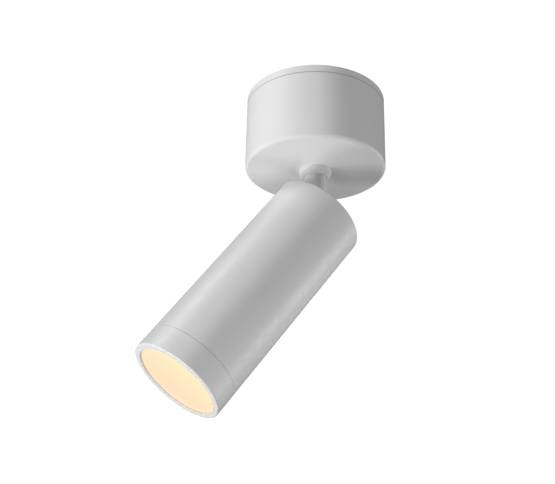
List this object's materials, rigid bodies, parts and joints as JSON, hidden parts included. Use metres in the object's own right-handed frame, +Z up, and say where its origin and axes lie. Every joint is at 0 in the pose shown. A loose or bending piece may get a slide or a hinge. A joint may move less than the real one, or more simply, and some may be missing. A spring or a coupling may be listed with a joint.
{
  "type": "surface mounted ceiling spotlight",
  "caption": "Round ceiling canopy with a short swivelling stem and a tilting cylindrical spotlight head behind an opal diffuser.",
  "frame": {"origin": "centre of the face that meets the ceiling", "axes": "+Z up into the ceiling, the lamp hangs along -Z; the head tilts about Y and leans towards -X at rest"},
  "size_m": [0.1508, 0.09, 0.2161],
  "materials": {
    "white_coat": "fine matt powder coat",
    "steel": "zinc plated",
    "stainless": "turned stainless steel",
    "sink_aluminium": "as extruded",
    "reflector_aluminium": "spun and brightened",
    "driver_plastic": "moulded",
    "terminal_plastic": "moulded",
    "board_green": "solder resist",
    "board_white": "white solder resist on aluminium",
    "holder_plastic": "moulded",
    "thermal_silicone": "soft pad",
    "phosphor": "phosphor in silicone",
    "black_rubber": "moulded",
    "clear_silicone": "moulded",
    "friction_fibre": "pressed fibre",
    "lead_insulation": "insulated wire",
    "opal": "opal diffuser, lit"
  },
  "bodies": {
    "canopy": {"mounting_plate": "white_coat", "cable_grommet": "black_rubber", "canopy_shell": "white_coat", "driver_case": "driver_plastic", "driver_lid": "driver_plastic", "driver_board": "board_green", "driver_screws": "steel", "terminal_block": "terminal_plastic", "terminal_screws": "steel", "earth_screw": "steel", "mains_leads": "lead_insulation", "output_leads": "lead_insulation", "swivel_bush": "white_coat", "bush_nut": "steel", "stop_pin": "steel"},
    "stem": {"spring_washer": "steel", "stop_washer": "steel", "stem_nut": "steel", "stem_tube": "white_coat", "stem_leads": "lead_insulation"},
    "head": {"rear_cap": "white_coat", "pivot_pin": "stainless", "pivot_spring": "stainless", "pivot_nut": "stainless", "friction_washers": "friction_fibre", "head_tube": "white_coat", "cap_screws": "steel", "heat_sink": "sink_aluminium", "thermal_pad": "thermal_silicone", "led_board": "board_white", "led_chip": "phosphor", "led_holder": "holder_plastic", "holder_screws": "steel", "head_leads": "lead_insulation", "reflector": "reflector_aluminium", "diffuser_gasket": "clear_silicone", "diffuser": "opal", "front_ring": "white_coat"}
  },
  "joints": [
    {"name": "swivel", "type": "hinge", "parent": "canopy", "child": "stem", "pos_m": [0, 0, -0.051], "axis": [0, 0, 1], "range_deg": [-170, 170]},
    {"name": "tilt", "type": "hinge", "parent": "stem", "child": "head", "pos_m": [0, 0, -0.0859], "axis": [0, 1, 0], "range_deg": [-104, 32]}
  ]
}
